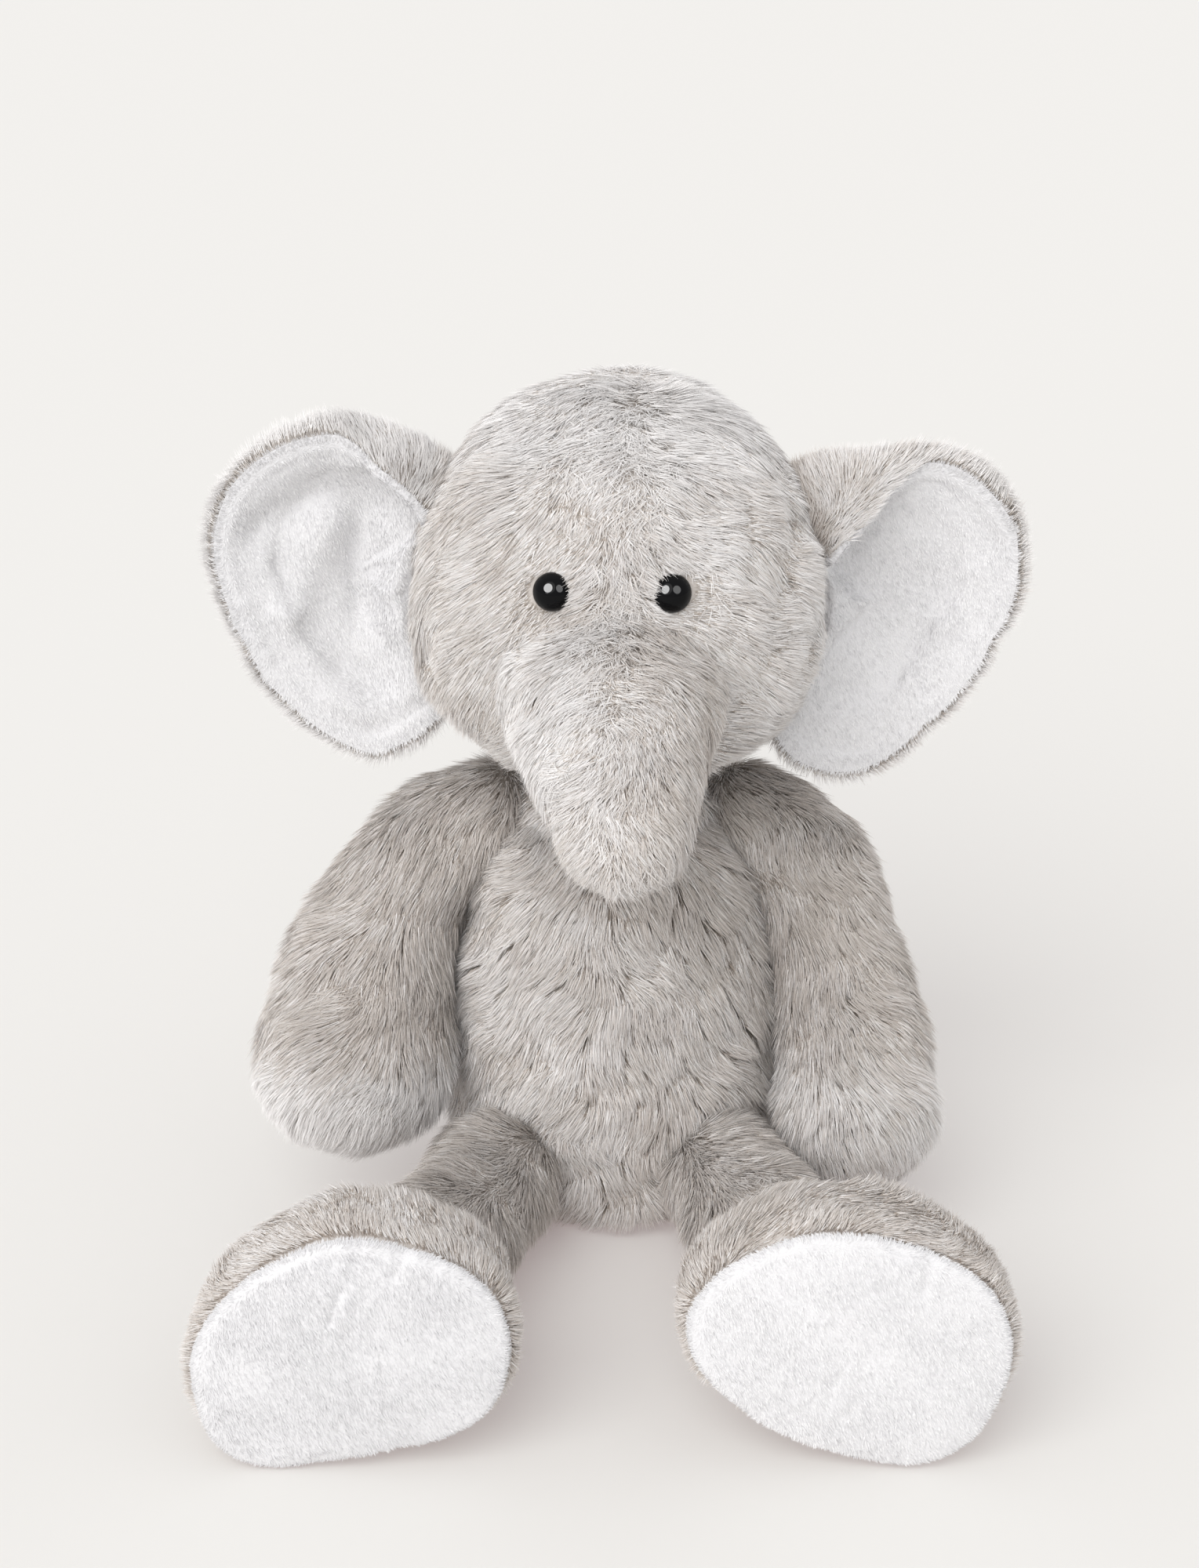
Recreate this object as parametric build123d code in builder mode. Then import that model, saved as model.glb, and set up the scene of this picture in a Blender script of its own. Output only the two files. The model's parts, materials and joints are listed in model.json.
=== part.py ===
from build123d import *
from math import asin, cos, degrees, sin, sqrt
import os

# A seated stuffed elephant, millimetres, +Z up.
# The origin is the centre of the round seat panel, on the surface the toy sits on.
# The face looks along -Y. "Left" pieces are on the -X side, "right" pieces on the +X side.
# Every soft skin is a shell of cloth and pile, and the filling inside it is a solid of its own.

os.makedirs("parts", exist_ok=True)

SIDES = (("left", -1), ("right", 1))

# Cloth and the gaps between pieces
cloth = 2.4  # thickness of the fur cloth with its flattened pile
gap = 0.4  # room between a skin and the filling behind it
joint_gap = 0.5  # room between two pieces that move against each other

# Torso: an egg turned about Z, from the edge of the seat to the neck
torso_outline = ((37, 0), (48, 17), (53.5, 42), (54, 70), (49.5, 99), (41.5, 125), (33, 137.5), (20, 143.5))
torso_heart = (0, 70)
seat_radius = 31
seat_thickness = 2
pouch_radius = 24
pouch_bottom = 4
pouch_height = 15
pouch_round = 5

# Neck: a ball of filling that the head turns and nods on
neck_centre = (0, 0, 150)
neck_radius = 15
thread_ring_radius = 17
thread_radius = 0.7

# Head: a ball
head_centre = (0, -6, 220.5)
head_radius = 63.5

# Eyes: domes on a shank, locked from inside by a washer
eye_spread = 18
eye_shift = -2
eye_level = 236
eye_radius = 6
eye_dome_height = 5.2
eye_rim = 1
eye_dent_height = 3
shank_radius = 2
shank_length = 11
shank_hole_lead = 2  # how far its hole runs on past each end of a shank
washer_radius = 7
washer_thickness = 1.6
washer_fit = 0.1
washer_depth = 4.6

# Trunk: a wide root on the face, an elbow, and a tip that bends on it
trunk_root = (0, -47, 206)
trunk_root_radius = 32
trunk_elbow = (0, -94, 191)
elbow_ball = 18
elbow_skin = 19.5
trunk_end = (0, -106, 175.5)
trunk_end_radius = 15.5
elbow_setback = 0.79  # how far behind the elbow's centre the root ends, in ball radii

# Ears: dished plates, each hinged on an upright line beside the head; outline of the right one
ear_outline = (
    (86, 271),
    (113, 264),
    (127, 241),
    (122, 209),
    (105, 179),
    (82, 163),
    (60, 172),
    (48, 214),
    (57, 262),
)
ear_centre = (90, 216)
right_ear_drop = 8
ear_dish_radius = 92
ear_dish_y = -84
ear_room = 6
lining_thickness = 2
lining_scale = 0.93
ear_depth = 60

# Arms: shoulder, elbow and paw, each a ball, joined by cones
arm_points = {
    "left": ((-60.5, 0, 126), (-82, -12, 97), (-92, -34, 58)),
    "right": ((60.5, 0, 126), (74, -14, 91), (80, -38, 48)),
}
arm_radii = {"left": (17, 20.5, 27), "right": (17, 19, 25)}
shoulder_wad_radius = 11

# Legs: hip and ankle, each a ball, with a wide upright foot in front
leg_points = {
    "left": ((-37, -62, 23), (-74, -134, 35)),
    "right": ((35, -63, 23), (66, -134, 35)),
}
leg_radii = (19, 22)
hip_wad_radius = 12
foot_x = {"left": -80, "right": 69}
foot_half_width = 47
foot_half_height = 38
foot_front = -172
foot_depth = 34
foot_back_round = 15
sole_thickness = 5
sole_proud = 3
foot_pouch_radius = 12
foot_pouch_level = 17

# Tail: a short tube of fur with a tuft, behind the seat
tail_points = ((0, 58, 46), (0, 70, 18))
tail_radii = (3.6, 3)
tuft_points = ((0, 72.2, 13.5), (0, 74.5, 9))
tuft_radii = (2.6, 6)


def finish(piece, name):
    """Name a finished piece and write it to its own file."""
    piece.part.label = name
    export_step(piece.part, f"parts/{name}.step")


def pulled(point, heart, inset):
    """A point of an outline, moved towards the outline's heart by the inset."""
    towards = Vector(heart) - Vector(point)
    return Vector(point) + towards.normalized() * inset


def torso_solid(inset):
    """The egg of the torso, smaller all round by the inset."""
    rim = [pulled(point, torso_heart, inset) for point in torso_outline]
    with BuildPart() as solid:
        with BuildSketch(Plane.XZ):
            with BuildLine():
                Spline(*rim)
                Polyline(rim[-1], (0, rim[-1].Y), (0, rim[0].Y), rim[0])
            make_face()
        revolve(axis=Axis.Z)
    return solid.part


def ball(centre, radius):
    """A plain ball, as a skin, a filling or the cutter of a socket."""
    with BuildPart() as solid:
        with Locations(centre):
            Sphere(radius)
    return solid.part


def span_solid(start, end, start_radius, end_radius):
    """Two balls and the cone that touches both, as one turned solid."""
    along = Vector(end) - Vector(start)
    length = along.length
    side = along.cross(Vector(0, 0, 1)).normalized()
    plane = Plane(origin=start, x_dir=side, z_dir=side.cross(along.normalized()))
    lean = asin((start_radius - end_radius) / length)
    near = (start_radius * cos(lean), start_radius * sin(lean))
    far = (end_radius * cos(lean), length + end_radius * sin(lean))
    with BuildPart() as solid:
        with BuildSketch(plane):
            with BuildLine():
                CenterArc((0, 0), start_radius, -90, 90 + degrees(lean))
                Line(near, far)
                CenterArc((0, length), end_radius, degrees(lean), 90 - degrees(lean))
                Line((0, length + end_radius), (0, -start_radius))
            make_face()
        revolve(axis=Axis(start, along))
    return solid.part


def limb_solid(points, radii, inset):
    """Balls at the points, each pair joined by a cone, smaller all round by the inset."""
    spans = []
    for i in range(len(points) - 1):
        spans.append(span_solid(points[i], points[i + 1], radii[i] - inset, radii[i + 1] - inset))
    with BuildPart() as limb:
        for span in spans:
            add(span)
    return limb.part


def half_of(whole, plane, keep):
    """The half of a solid on one side of a plane."""
    with BuildPart() as half:
        add(whole)
        split(bisect_by=plane, keep=keep)
    return half.part


# ---------------------------------------------------------------- torso

neck_socket = ball(neck_centre, neck_radius + joint_gap)
torso_skin = torso_solid(0)
torso_inside = torso_solid(cloth)
torso_core = torso_solid(cloth + gap)

with BuildPart() as torso_shell:
    add(torso_skin)
    add(torso_inside, mode=Mode.SUBTRACT)
    Cylinder(seat_radius + gap, 2 * cloth, mode=Mode.SUBTRACT)
    add(neck_socket, mode=Mode.SUBTRACT)

for side, keep in (("left", Keep.BOTTOM), ("right", Keep.TOP)):
    with BuildPart() as body_panel:
        add(torso_shell.part)
        split(bisect_by=Plane.YZ, keep=keep)
    finish(body_panel, f"body_panel_{side}")

with BuildPart() as seat_panel:
    Cylinder(seat_radius, seat_thickness, align=(Align.CENTER, Align.CENTER, Align.MIN))
finish(seat_panel, "seat_panel")


def pouch_solid(grow):
    """The flat round pouch of beans that weighs the seat down, larger all round by grow."""
    with BuildPart() as solid:
        with BuildSketch(Plane.XY.offset(pouch_bottom - grow)):
            Circle(pouch_radius + grow)
        extrude(amount=pouch_height + 2 * grow)
        fillet(solid.edges(), pouch_round)
    return solid.part


with BuildPart() as seat_bean_pouch:
    add(pouch_solid(0))
finish(seat_bean_pouch, "seat_bean_pouch")

pouch_room = pouch_solid(gap)
with BuildPart() as body_stuffing:
    add(torso_core)
    add(neck_socket, mode=Mode.SUBTRACT)
    add(pouch_room, mode=Mode.SUBTRACT)
finish(body_stuffing, "body_stuffing")

# ---------------------------------------------------------------- neck

with BuildPart() as neck_stuffing:
    with Locations(neck_centre):
        Sphere(neck_radius)
finish(neck_stuffing, "neck_stuffing")

with BuildPart() as neck_thread:
    with Locations(neck_centre):
        Torus(thread_ring_radius, thread_radius)
finish(neck_thread, "neck_thread")

# ---------------------------------------------------------------- head


def eye_plane(sign):
    """A plane on the head's skin where an eye sits, with its Z pointing out of the head."""
    centre = Vector(head_centre)
    x = eye_shift + sign * eye_spread
    up = eye_level - centre.Z
    front = sqrt(head_radius**2 - x**2 - up**2)
    outward = Vector(x, -front, up)
    return Plane(origin=centre + outward, z_dir=outward)


def shank_hole(sign):
    """The round way through skin and filling that an eye's shank takes."""
    with BuildPart() as hole:
        with BuildSketch(eye_plane(sign).offset(shank_hole_lead)):
            Circle(shank_radius + gap)
        extrude(amount=-(shank_length + 2 * shank_hole_lead))
    return hole.part


def washer_room(sign):
    """The hollow in the filling that an eye's lock washer sits in."""
    with BuildPart() as room:
        with BuildSketch(eye_plane(sign).offset(-washer_depth - washer_thickness - gap)):
            Circle(washer_radius + gap)
        extrude(amount=washer_depth)
    return room.part


def eye_room(sign):
    """The dent in the skin under an eye's flat back."""
    with BuildPart() as room:
        with BuildSketch(eye_plane(sign).offset(-eye_rim)):
            Circle(eye_radius + gap)
        extrude(amount=eye_dent_height)
    return room.part


head_skin = ball(head_centre, head_radius)
head_inside = ball(head_centre, head_radius - cloth)
head_core = ball(head_centre, head_radius - cloth - gap)
head_room = ball(head_centre, head_radius + gap)
shank_holes = [shank_hole(sign) for _, sign in SIDES]
washer_rooms = [washer_room(sign) for _, sign in SIDES]
eye_rooms = [eye_room(sign) for _, sign in SIDES]

with BuildPart() as head_shell:
    add(head_skin)
    add(head_inside, mode=Mode.SUBTRACT)
    add(neck_socket, mode=Mode.SUBTRACT)
    add(shank_holes, mode=Mode.SUBTRACT)
    add(eye_rooms, mode=Mode.SUBTRACT)

for side, keep in (("left", Keep.BOTTOM), ("right", Keep.TOP)):
    with BuildPart() as head_panel:
        add(head_shell.part)
        split(bisect_by=Plane.YZ, keep=keep)
    finish(head_panel, f"head_panel_{side}")

with BuildPart() as head_stuffing:
    add(head_core)
    add(neck_socket, mode=Mode.SUBTRACT)
    add(shank_holes, mode=Mode.SUBTRACT)
    add(washer_rooms, mode=Mode.SUBTRACT)
finish(head_stuffing, "head_stuffing")

for side, sign in SIDES:
    back = eye_plane(sign).offset(-eye_rim)
    with BuildPart() as eye:
        with BuildSketch(back):
            Circle(eye_radius)
        extrude(amount=eye_rim)
        with BuildSketch(Plane(origin=back.offset(eye_rim).origin, x_dir=back.x_dir, z_dir=-back.y_dir)):
            with BuildLine():
                EllipticalCenterArc((0, 0), eye_radius, eye_dome_height, start_angle=0, arc_size=90)
                Polyline((0, eye_dome_height), (0, 0), (eye_radius, 0))
            make_face()
        revolve(axis=Axis(back.origin, back.z_dir))
        with BuildSketch(back):
            Circle(shank_radius)
        extrude(amount=-shank_length)
    finish(eye, f"eye_{side}")

    with BuildPart() as eye_washer:
        with BuildSketch(eye_plane(sign).offset(-washer_depth - washer_thickness)):
            Circle(washer_radius)
            Circle(shank_radius + washer_fit, mode=Mode.SUBTRACT)
        extrude(amount=washer_thickness)
    finish(eye_washer, f"eye_washer_{side}")

# ---------------------------------------------------------------- trunk

root_way = (Vector(trunk_elbow) - Vector(trunk_root)).normalized()
tip_way = (Vector(trunk_end) - Vector(trunk_elbow)).normalized()
bend_way = (root_way + tip_way).normalized()
root_end = Vector(trunk_elbow) - bend_way * (elbow_ball * elbow_setback)
root_end_plane = Plane(origin=root_end, z_dir=bend_way)
elbow_socket = ball(trunk_elbow, elbow_ball + joint_gap)


def trunk_root_solid(inset):
    """The root's cone, smaller by the inset, cut off behind the elbow."""
    whole = span_solid(trunk_root, trunk_elbow, trunk_root_radius - inset, elbow_skin - inset)
    return half_of(whole, root_end_plane, Keep.BOTTOM)


root_skin = trunk_root_solid(0)
root_inside = trunk_root_solid(cloth)
root_core = trunk_root_solid(cloth + gap)

with BuildPart() as trunk_root_shell:
    add(root_skin)
    add(root_inside, mode=Mode.SUBTRACT)
    add(head_room, mode=Mode.SUBTRACT)
    add(elbow_socket, mode=Mode.SUBTRACT)

trunk_tip_skin = span_solid(trunk_elbow, trunk_end, elbow_ball, trunk_end_radius)
trunk_tip_inside = span_solid(trunk_elbow, trunk_end, elbow_ball - cloth, trunk_end_radius - cloth)
trunk_tip_core = span_solid(
    trunk_elbow, trunk_end, elbow_ball - cloth - gap, trunk_end_radius - cloth - gap
)

with BuildPart() as trunk_tip_shell:
    add(trunk_tip_skin)
    add(trunk_tip_inside, mode=Mode.SUBTRACT)

for side, keep in (("left", Keep.BOTTOM), ("right", Keep.TOP)):
    with BuildPart() as root_panel:
        add(trunk_root_shell.part)
        split(bisect_by=Plane.YZ, keep=keep)
    finish(root_panel, f"trunk_root_panel_{side}")

    with BuildPart() as tip_panel:
        add(trunk_tip_shell.part)
        split(bisect_by=Plane.YZ, keep=keep)
    finish(tip_panel, f"trunk_tip_panel_{side}")

with BuildPart() as trunk_root_stuffing:
    add(root_core)
    add(head_room, mode=Mode.SUBTRACT)
    add(elbow_socket, mode=Mode.SUBTRACT)
finish(trunk_root_stuffing, "trunk_root_stuffing")

with BuildPart() as trunk_tip_stuffing:
    add(trunk_tip_core)
finish(trunk_tip_stuffing, "trunk_tip_stuffing")

# ---------------------------------------------------------------- ears

ear_head_room = ball(head_centre, head_radius + ear_room)


def ear_plate(side, shrink, outer_radius, thickness):
    """A dished plate with the ear's outline, cut away where the head is."""
    drop = right_ear_drop if side == "right" else 0
    centre = Vector(ear_centre)
    rim = []
    for point in ear_outline:
        near = centre + (Vector(point) - centre) * shrink
        rim.append((near.X, near.Y - drop))
    with BuildPart() as plate:
        with BuildSketch(Plane.XZ.offset(-ear_depth / 2)):
            with BuildLine():
                Spline(*rim, periodic=True)
            make_face()
        extrude(amount=ear_depth)
        with Locations((ear_centre[0], ear_dish_y, ear_centre[1] - drop)):
            Sphere(outer_radius, mode=Mode.INTERSECT)
            Sphere(outer_radius - thickness, mode=Mode.SUBTRACT)
        add(ear_head_room, mode=Mode.SUBTRACT)
        if side == "left":
            mirror(about=Plane.YZ, mode=Mode.REPLACE)
    return plate.part


for side, _ in SIDES:
    back = ear_plate(side, 1, ear_dish_radius, cloth)
    with BuildPart() as ear_back:
        add(back)
    finish(ear_back, f"ear_back_{side}")

    lining = ear_plate(side, lining_scale, ear_dish_radius - cloth - gap, lining_thickness)
    with BuildPart() as ear_lining:
        add(lining)
    finish(ear_lining, f"ear_lining_{side}")

# ---------------------------------------------------------------- arms

for side, sign in SIDES:
    points = arm_points[side]
    radii = arm_radii[side]
    arm_skin = limb_solid(points, radii, 0)
    arm_inside = limb_solid(points, radii, cloth)
    arm_core = limb_solid(points, radii, cloth + gap)
    wad_room = ball(points[0], shoulder_wad_radius + joint_gap)
    seam_normal = (Vector(points[1]) - Vector(points[0])).cross(Vector(points[2]) - Vector(points[0]))
    seam_plane = Plane(origin=points[0], z_dir=seam_normal * sign)

    with BuildPart() as arm_shell:
        add(arm_skin)
        add(arm_inside, mode=Mode.SUBTRACT)

    for face, keep in (("front", Keep.TOP), ("back", Keep.BOTTOM)):
        with BuildPart() as arm_panel:
            add(arm_shell.part)
            split(bisect_by=seam_plane, keep=keep)
        finish(arm_panel, f"arm_{face}_panel_{side}")

    with BuildPart() as arm_stuffing:
        add(arm_core)
        add(wad_room, mode=Mode.SUBTRACT)
    finish(arm_stuffing, f"arm_stuffing_{side}")

    with BuildPart() as shoulder_stuffing:
        with Locations(points[0]):
            Sphere(shoulder_wad_radius)
    finish(shoulder_stuffing, f"shoulder_stuffing_{side}")

# ---------------------------------------------------------------- legs and feet


def foot_solid(side, inset, front_inset):
    """The upright oval foot, rounded at the back, smaller by the insets."""
    depth = foot_depth - inset - front_inset
    with BuildPart() as foot:
        with BuildSketch(Plane.XZ.offset(-(foot_front + front_inset))):
            with Locations((foot_x[side], foot_half_height)):
                Ellipse(foot_half_width - inset, foot_half_height - inset)
        extrude(amount=-depth)
        back_edges = foot.edges().group_by(Axis.Y)[-1]
        fillet(back_edges, foot_back_round - inset)
    return foot.part


def foot_pouch_solid(side, grow):
    """The pouch of beans that holds a foot on the floor, larger all round by grow."""
    with BuildPart() as pouch:
        with Locations((foot_x[side], foot_front + foot_depth / 2, foot_pouch_level)):
            Sphere(foot_pouch_radius + grow)
    return pouch.part


for side, _ in SIDES:
    points = leg_points[side]
    leg_skin = limb_solid(points, leg_radii, 0)
    leg_inside = limb_solid(points, leg_radii, cloth)
    leg_core = limb_solid(points, leg_radii, cloth + gap)
    hip_room = ball(points[0], hip_wad_radius + joint_gap)
    foot_skin = foot_solid(side, 0, 0)
    foot_inside = foot_solid(side, cloth, 0)
    foot_core = foot_solid(side, cloth + gap, sole_thickness - sole_proud + gap)
    foot_room = foot_solid(side, -gap, -gap)
    foot_pouch = foot_pouch_solid(side, 0)
    foot_pouch_room = foot_pouch_solid(side, gap)

    with BuildPart() as leg_sleeve:
        add(leg_skin)
        add(leg_inside, mode=Mode.SUBTRACT)
        add(foot_room, mode=Mode.SUBTRACT)
    finish(leg_sleeve, f"leg_sleeve_{side}")

    with BuildPart() as leg_stuffing:
        add(leg_core)
        add(foot_room, mode=Mode.SUBTRACT)
        add(hip_room, mode=Mode.SUBTRACT)
    finish(leg_stuffing, f"leg_stuffing_{side}")

    with BuildPart() as hip_stuffing:
        with Locations(points[0]):
            Sphere(hip_wad_radius)
    finish(hip_stuffing, f"hip_stuffing_{side}")

    with BuildPart() as foot_upper:
        add(foot_skin)
        add(foot_inside, mode=Mode.SUBTRACT)
    finish(foot_upper, f"foot_upper_{side}")

    with BuildPart() as foot_stuffing:
        add(foot_core)
        add(foot_pouch_room, mode=Mode.SUBTRACT)
    finish(foot_stuffing, f"foot_stuffing_{side}")

    with BuildPart() as foot_bean_pouch:
        add(foot_pouch)
    finish(foot_bean_pouch, f"foot_bean_pouch_{side}")

    with BuildPart() as sole:
        with BuildSketch(Plane.XZ.offset(-(foot_front - sole_proud))):
            with Locations((foot_x[side], foot_half_height)):
                Ellipse(foot_half_width - cloth - gap, foot_half_height - cloth - gap)
        extrude(amount=-sole_thickness)
        fillet(sole.edges().group_by(Axis.Y)[0], sole_thickness / 2)
    finish(sole, f"sole_{side}")

# ---------------------------------------------------------------- tail

with BuildPart() as tail_tube:
    add(limb_solid(tail_points, tail_radii, 0))
finish(tail_tube, "tail_tube")

tail_room = limb_solid(tail_points, tail_radii, -gap)
with BuildPart() as tail_tuft:
    add(limb_solid(tuft_points, tuft_radii, 0))
    add(tail_room, mode=Mode.SUBTRACT)
finish(tail_tuft, "tail_tuft")
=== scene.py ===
import json
import math

import bmesh
import bpy
import numpy as np
from mathutils import Matrix, Vector


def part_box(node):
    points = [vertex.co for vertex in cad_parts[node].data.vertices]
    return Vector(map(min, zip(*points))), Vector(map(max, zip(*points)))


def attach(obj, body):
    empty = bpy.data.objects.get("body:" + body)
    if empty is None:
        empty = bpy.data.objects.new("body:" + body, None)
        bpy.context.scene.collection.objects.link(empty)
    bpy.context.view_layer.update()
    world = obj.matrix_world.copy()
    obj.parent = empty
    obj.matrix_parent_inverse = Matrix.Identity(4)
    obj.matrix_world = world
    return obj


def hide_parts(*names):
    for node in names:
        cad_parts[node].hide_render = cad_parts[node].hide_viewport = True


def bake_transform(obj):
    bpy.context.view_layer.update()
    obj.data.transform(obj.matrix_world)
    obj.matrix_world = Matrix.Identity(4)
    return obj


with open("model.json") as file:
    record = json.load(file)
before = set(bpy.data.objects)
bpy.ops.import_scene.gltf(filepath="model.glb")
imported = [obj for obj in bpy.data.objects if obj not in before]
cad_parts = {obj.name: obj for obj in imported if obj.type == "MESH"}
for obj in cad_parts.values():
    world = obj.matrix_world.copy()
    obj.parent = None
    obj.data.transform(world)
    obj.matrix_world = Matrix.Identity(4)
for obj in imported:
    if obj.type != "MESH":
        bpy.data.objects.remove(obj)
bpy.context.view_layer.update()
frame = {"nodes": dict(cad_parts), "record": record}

# The seated stuffed elephant. The frame is in metres; shapes below are written in
# millimetres of the row frame and scaled once, as each mesh is made.
MM = 0.001
SIDES = (("left", -1), ("right", 1))

JOINTS = {joint["name"]: joint for joint in frame["record"]["behaviour"]["joints"]}


def joint_mm(name):
    """Where a joint turns, in millimetres."""
    return np.array(JOINTS[name]["pos_m"]) / MM


def box_mm(*nodes):
    """Lowest and highest corner of some CAD nodes together, in millimetres."""
    boxes = [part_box(node) for node in nodes]
    low = np.min([np.array(b[0]) for b in boxes], axis=0) / MM
    high = np.max([np.array(b[1]) for b in boxes], axis=0) / MM
    return low, high


HEAD_LOW, HEAD_HIGH = box_mm("head_panel_left", "head_panel_right")
HEAD_R = (HEAD_HIGH[0] - HEAD_LOW[0]) / 2
HEAD = np.array([0.0, (HEAD_LOW[1] + HEAD_HIGH[1]) / 2, HEAD_HIGH[2] - HEAD_R])
NECK = joint_mm("head_nod")
ELBOW = joint_mm("trunk_bend")

# ---- colours

# Scene-linear colours. The pile is darker and browner at its roots than at its tips: partly its own
# colour, partly painted shade for the shade deep among the fibres.
FUR_TIPS = ((0.90, 0.885, 0.88), (0.84, 0.815, 0.80), (0.74, 0.70, 0.67), (0.63, 0.58, 0.54))
FUR_ROOTS = ((0.70, 0.66, 0.625), (0.60, 0.55, 0.505), (0.49, 0.43, 0.38), (0.40, 0.34, 0.295))
# One backing cloth shows in the gaps of the pile. PALE_BACKING is a lighter copy of it, painted light, so
# that the gaps on the head, trunk, legs and ears show less shade.
FUR_BACKING = (0.50, 0.45, 0.405)
PALE_BACKING = (0.62, 0.575, 0.54)
WHITE_TIPS = ((0.89, 0.885, 0.89), (0.865, 0.86, 0.868), (0.77, 0.765, 0.777))
WHITE_ROOTS = ((0.83, 0.825, 0.832), (0.81, 0.805, 0.812), (0.73, 0.725, 0.736))
WHITE_BACKING = (0.80, 0.795, 0.81)
FLOOR_COLOUR = (0.605, 0.634, 0.61)
FLOOR_GLOW = (0.245, 0.2, 0.2)
EYE_BLACK = (0.0005, 0.0005, 0.0006)
FILLING_WHITE = (0.88, 0.88, 0.87)

# ---- materials


def set_inputs(node, values):
    """Set some of a node's inputs by name."""
    for name, value in values.items():
        node.inputs[name].default_value = value
    return node


def add_node(tree, kind, values=None):
    return set_inputs(tree.nodes.new("ShaderNode" + kind), values or {})


def wire(tree, start, output, end, socket):
    tree.links.new(start.outputs[output], end.inputs[socket])


def new_material(name, values):
    """A material, its nodes, and its Principled shader with some inputs set."""
    material = bpy.data.materials.new(name)
    material.use_nodes = True
    tree = material.node_tree
    return material, tree, set_inputs(tree.nodes["Principled BSDF"], values)


def vary_roughness(tree, shader, scale, low, high):
    """Roughness that wanders between two values over the surface."""
    noise = add_node(tree, "TexNoise", {"Scale": scale})
    span = add_node(tree, "MapRange", {"To Min": low, "To Max": high})
    wire(tree, noise, "Fac", span, "Value")
    wire(tree, span, "Result", shader, "Roughness")


def fibre_material(name, colour, roughness, sheen):
    """The finish of single fibres: one shade each, so that a coat mixes several of them."""
    finish = {
        "Base Color": (*colour, 1), "Specular IOR Level": 0.25, "Sheen Weight": sheen,
        "Sheen Roughness": 0.45,
    }
    material, tree, shader = new_material(name, finish)
    vary_roughness(tree, shader, 900, roughness - 0.12, roughness + 0.12)
    return material


def cloth_material(name, colour, dark, scale, bump):
    """Backing cloth, filling and other hidden stuff: fine grain, with soft patches of shade."""
    finish = {"Roughness": 0.9, "Specular IOR Level": 0.2, "Sheen Weight": 0.3}
    material, tree, shader = new_material(name, finish)
    where = add_node(tree, "TexCoord")
    patches = add_node(tree, "TexNoise", {"Scale": scale / 8, "Detail": 4})
    ramp = add_node(tree, "ValToRGB")
    ramp.color_ramp.elements[0].position = 0.35
    ramp.color_ramp.elements[0].color = (*[c * dark for c in colour], 1)
    ramp.color_ramp.elements[1].position = 0.65
    ramp.color_ramp.elements[1].color = (*colour, 1)
    wire(tree, where, "Object", patches, "Vector")
    wire(tree, patches, "Fac", ramp, "Fac")
    wire(tree, ramp, "Color", shader, "Base Color")
    threads = add_node(tree, "TexVoronoi", {"Scale": scale})
    lumps = add_node(tree, "Bump", {"Strength": bump, "Distance": 0.0006})
    wire(tree, where, "Object", threads, "Vector")
    wire(tree, threads, "Distance", lumps, "Height")
    wire(tree, lumps, "Normal", shader, "Normal")
    return material


def eye_material():
    """Polished black plastic with a few faint rubs in its gloss."""
    finish = {"Base Color": (*EYE_BLACK, 1), "Specular IOR Level": 0.12}
    material, tree, shader = new_material("eye_black", finish)
    vary_roughness(tree, shader, 350, 0.02, 0.035)
    return material


def floor_material():
    """Seamless studio paper with a faint glow of its own, so that shadows on it stay pale."""
    finish = {
        "Base Color": (*FLOOR_COLOUR, 1), "Emission Color": (*FLOOR_GLOW, 1), "Emission Strength": 1,
        "Roughness": 0.95, "Specular IOR Level": 0.1,
    }
    return new_material("studio_paper", finish)[0]


def coat_materials(name, tips, roots, tip_roughness, root_roughness, tip_sheen):
    """The root and the tip of each shade in a coat, in turn."""
    found = []
    for shade, (tip, root) in enumerate(zip(tips, roots)):
        found.append(fibre_material(f"{name}_root_{shade}", root, root_roughness, 0.1))
        found.append(fibre_material(f"{name}_tip_{shade}", tip, tip_roughness, tip_sheen))
    return found


FUR = coat_materials("fur", FUR_TIPS, FUR_ROOTS, 0.7, 0.85, 0.25)
WHITE = coat_materials("plush", WHITE_TIPS, WHITE_ROOTS, 0.8, 0.9, 0.2)
BACKING = cloth_material("fur_backing", FUR_BACKING, 0.8, 900, 0.5)
PAINTED_LIGHT_BACKING = cloth_material("fur_backing_painted_light", PALE_BACKING, 0.88, 900, 0.5)
PLUSH_BACKING = cloth_material("plush_backing", WHITE_BACKING, 0.985, 1500, 0.35)
FILLING = cloth_material("fibre_filling", FILLING_WHITE, 0.85, 500, 0.8)
POUCH = cloth_material("pouch_cotton", (0.80, 0.78, 0.72), 0.9, 1200, 0.6)
WASHER = cloth_material("washer_plastic", (0.78, 0.78, 0.75), 0.96, 200, 0.1)
THREAD = cloth_material("neck_thread", (0.36, 0.33, 0.31), 0.7, 2200, 0.9)
EYE = eye_material()

# ---- mesh helpers


def new_object(name, data):
    """An object in the scene that holds a mesh, a light or a camera."""
    made = bpy.data.objects.new(name, data)
    bpy.context.scene.collection.objects.link(made)
    return made


def object_from(name, points, faces, material):
    """An object from points in millimetres and faces."""
    mesh = bpy.data.meshes.new(name)
    mesh.from_pydata([tuple(np.array(p) * MM) for p in points], [], faces)
    mesh.materials.append(material)
    mesh.polygons.foreach_set("use_smooth", [True] * len(mesh.polygons))
    mesh.validate()
    mesh.update()
    return new_object(name, mesh)


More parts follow.
